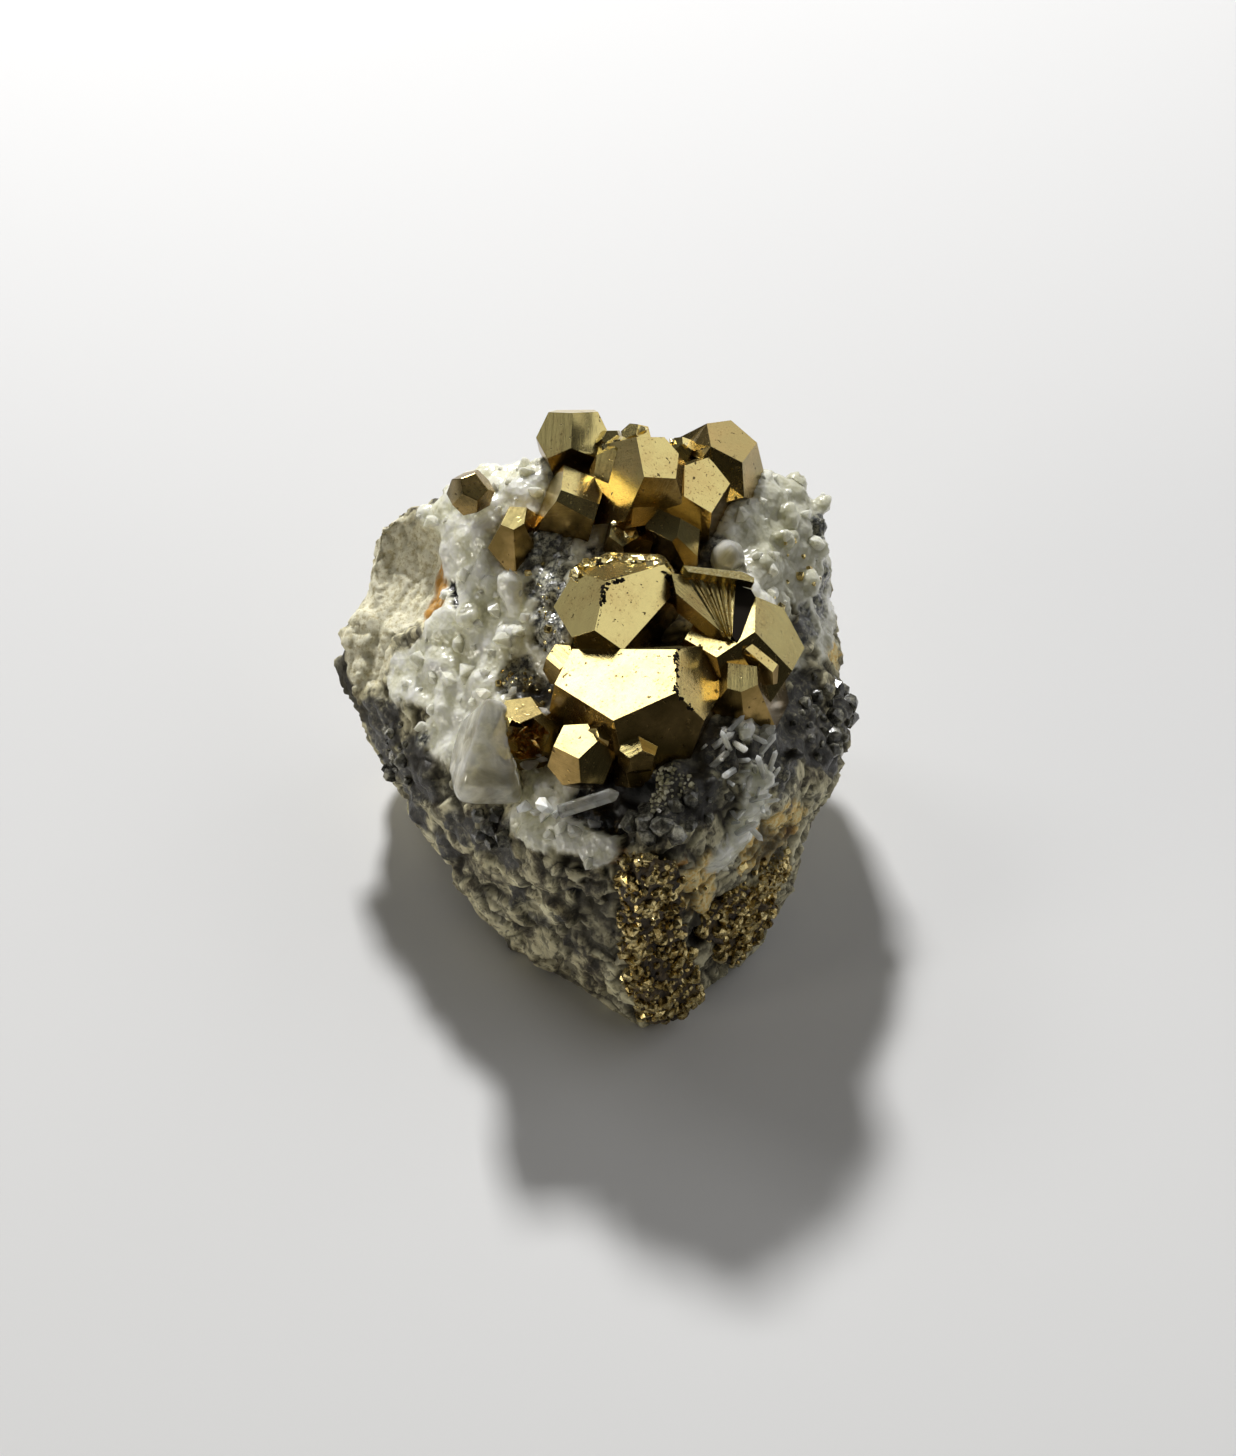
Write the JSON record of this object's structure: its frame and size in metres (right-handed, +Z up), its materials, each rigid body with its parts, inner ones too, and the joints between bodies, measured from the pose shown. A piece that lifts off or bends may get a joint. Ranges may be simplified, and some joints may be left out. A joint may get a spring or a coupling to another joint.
{
  "type": "pyrite crystal specimen",
  "caption": "Cluster of golden pyritohedral pyrite crystals grown on a loose block of quartz and host rock, with a flat resting face underneath.",
  "frame": {"origin": "on the resting face, in the middle of the specimen's outline", "axes": "+Z up; -Y is the side with the pointed prow, +X is the right-hand side seen from the prow"},
  "size_m": [0.0732, 0.0686, 0.0626],
  "materials": {
    "host_rock": "rough broken rock and sugary quartz, grey, beige and white with dark blotches",
    "pyrite": "bright pale golden metallic crystal faces, lightly grooved and pitted",
    "pyrite_crust": "sparkling crust of fine golden brown metallic crystals",
    "quartz": "milky see-through quartz crystal"
  },
  "bodies": {
    "root": {"matrix_rock": "host_rock", "pyrite_front_cluster": "pyrite", "pyrite_rear_cluster": "pyrite", "pyrite_far_crystal": "pyrite", "pyrite_left_crystal": "pyrite", "pyrite_etched_crystal": "pyrite", "pyrite_prow_crust": "pyrite_crust", "pyrite_right_crust": "pyrite_crust", "quartz_prism": "quartz", "quartz_needle": "quartz", "quartz_blade": "quartz", "quartz_bud": "quartz"}
  },
  "joints": []
}
